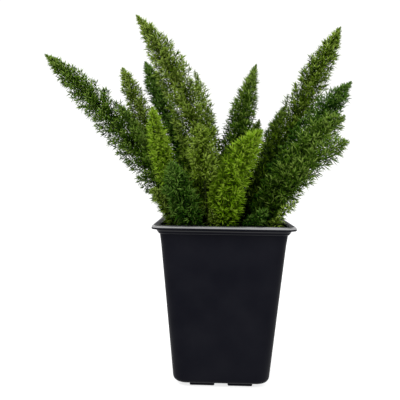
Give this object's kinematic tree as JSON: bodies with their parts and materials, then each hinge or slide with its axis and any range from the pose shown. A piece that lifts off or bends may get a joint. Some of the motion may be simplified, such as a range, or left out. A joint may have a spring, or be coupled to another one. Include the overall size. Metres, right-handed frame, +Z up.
{
  "type": "potted foxtail fern",
  "caption": "Foxtail fern with upright and leaning needle plumes, growing in a square tapered black nursery pot with a rolled rim, drain holes and feet.",
  "frame": {"origin": "middle of the whole plant's box, on the surface that the pot's feet stand on", "axes": "+Z up out of the pot, +X to the right as the picture is seen, +Y away from the viewer"},
  "size_m": [0.3892, 0.2706, 0.4564],
  "materials": {
    "pot_plastic": "black moulded plastic, faintly blue, matt with a soft sheen",
    "potting_mix": "dark brown potting mix of bark and peat, matt and crumbly",
    "needles_deep": "deep green needles with a slight sheen",
    "needles_mid": "mid green needles with a slight sheen",
    "needles_olive": "yellowish green needles with a slight sheen",
    "needles_bright": "bright yellow-green young needles",
    "needles_pale": "pale green young needles"
  },
  "bodies": {
    "root": {"pot": "pot_plastic", "soil": "potting_mix", "frond_far_left": "needles_mid", "frond_left_short": "needles_olive", "frond_left_dark": "needles_deep", "frond_tall": "needles_olive", "frond_tall_dark": "needles_deep", "frond_bright": "needles_bright", "frond_pale_front": "needles_pale", "frond_sparse": "needles_olive", "frond_centre": "needles_mid", "frond_broad_front": "needles_bright", "frond_tall_right": "needles_olive", "frond_right_dark": "needles_deep", "frond_right_broad": "needles_mid", "frond_right_low": "needles_mid", "frond_right_pale": "needles_pale", "frond_left_low": "needles_olive", "frond_front_dark": "needles_deep", "frond_low_dark": "needles_deep", "frond_sprout": "needles_pale", "frond_back_small": "needles_mid", "frond_back_right": "needles_mid", "frond_rear_left": "needles_deep", "frond_rear": "needles_mid", "frond_rear_right": "needles_deep", "frond_rear_far_left": "needles_mid", "frond_rear_far_right": "needles_mid"}
  },
  "joints": []
}
